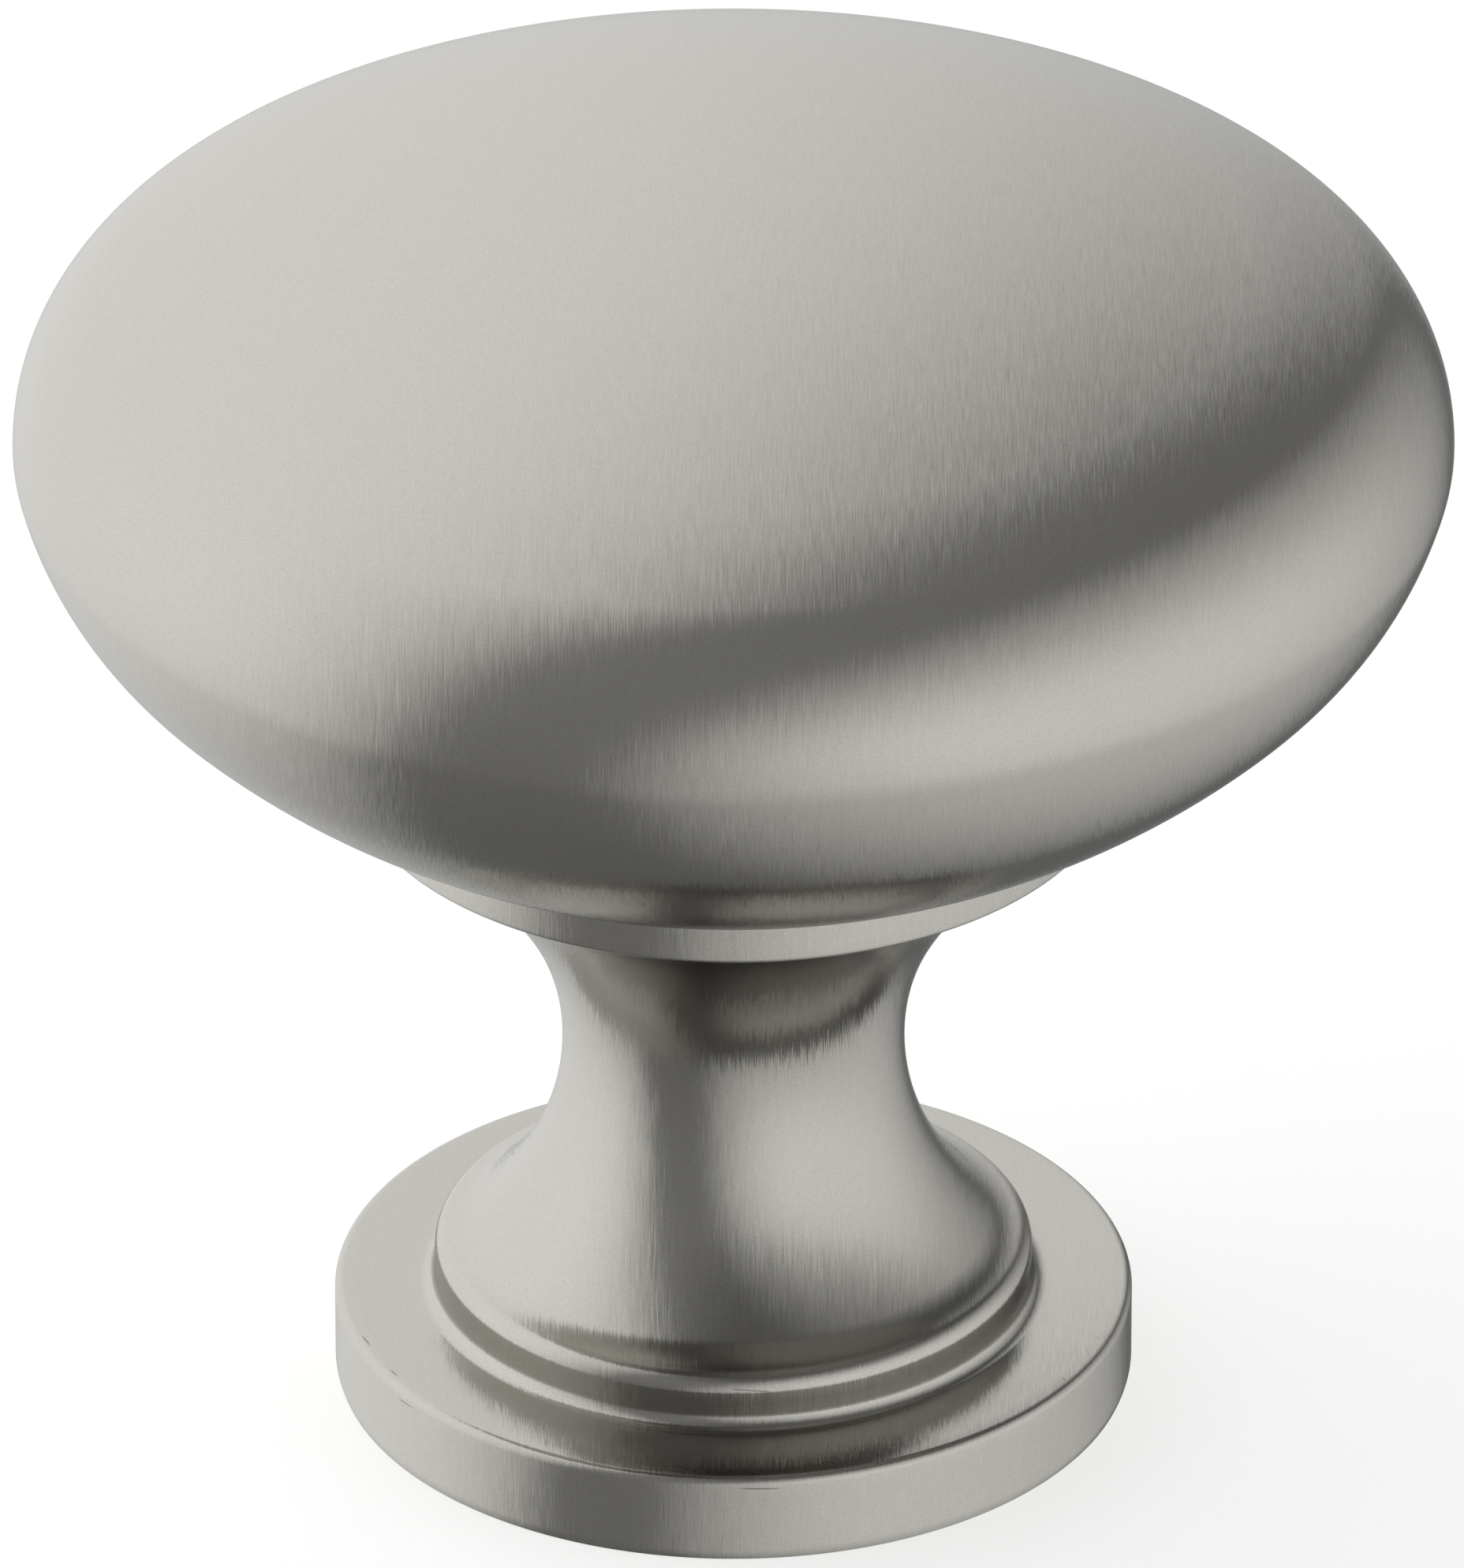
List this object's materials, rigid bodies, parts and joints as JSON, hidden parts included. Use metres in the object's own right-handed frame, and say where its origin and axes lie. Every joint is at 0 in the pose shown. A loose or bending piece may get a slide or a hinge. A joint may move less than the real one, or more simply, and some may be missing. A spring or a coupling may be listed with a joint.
{
  "type": "cabinet knob",
  "caption": "Round mushroom cabinet knob with a lens-shaped head, collar, waisted stem and stepped round base, screwed from behind.",
  "frame": {"origin": "centre of the underside of the base, on the axis of the tapped hole", "axes": "+Z along the knob's axis, from the base out to the crown of the head; X and Y are in the plane of the drawer front, and the brushing runs along Y"},
  "size_m": [0.032, 0.032, 0.0302],
  "materials": {
    "satin_nickel": "brushed satin nickel plate"
  },
  "bodies": {
    "root": {"knob_body": "satin_nickel"}
  },
  "joints": []
}
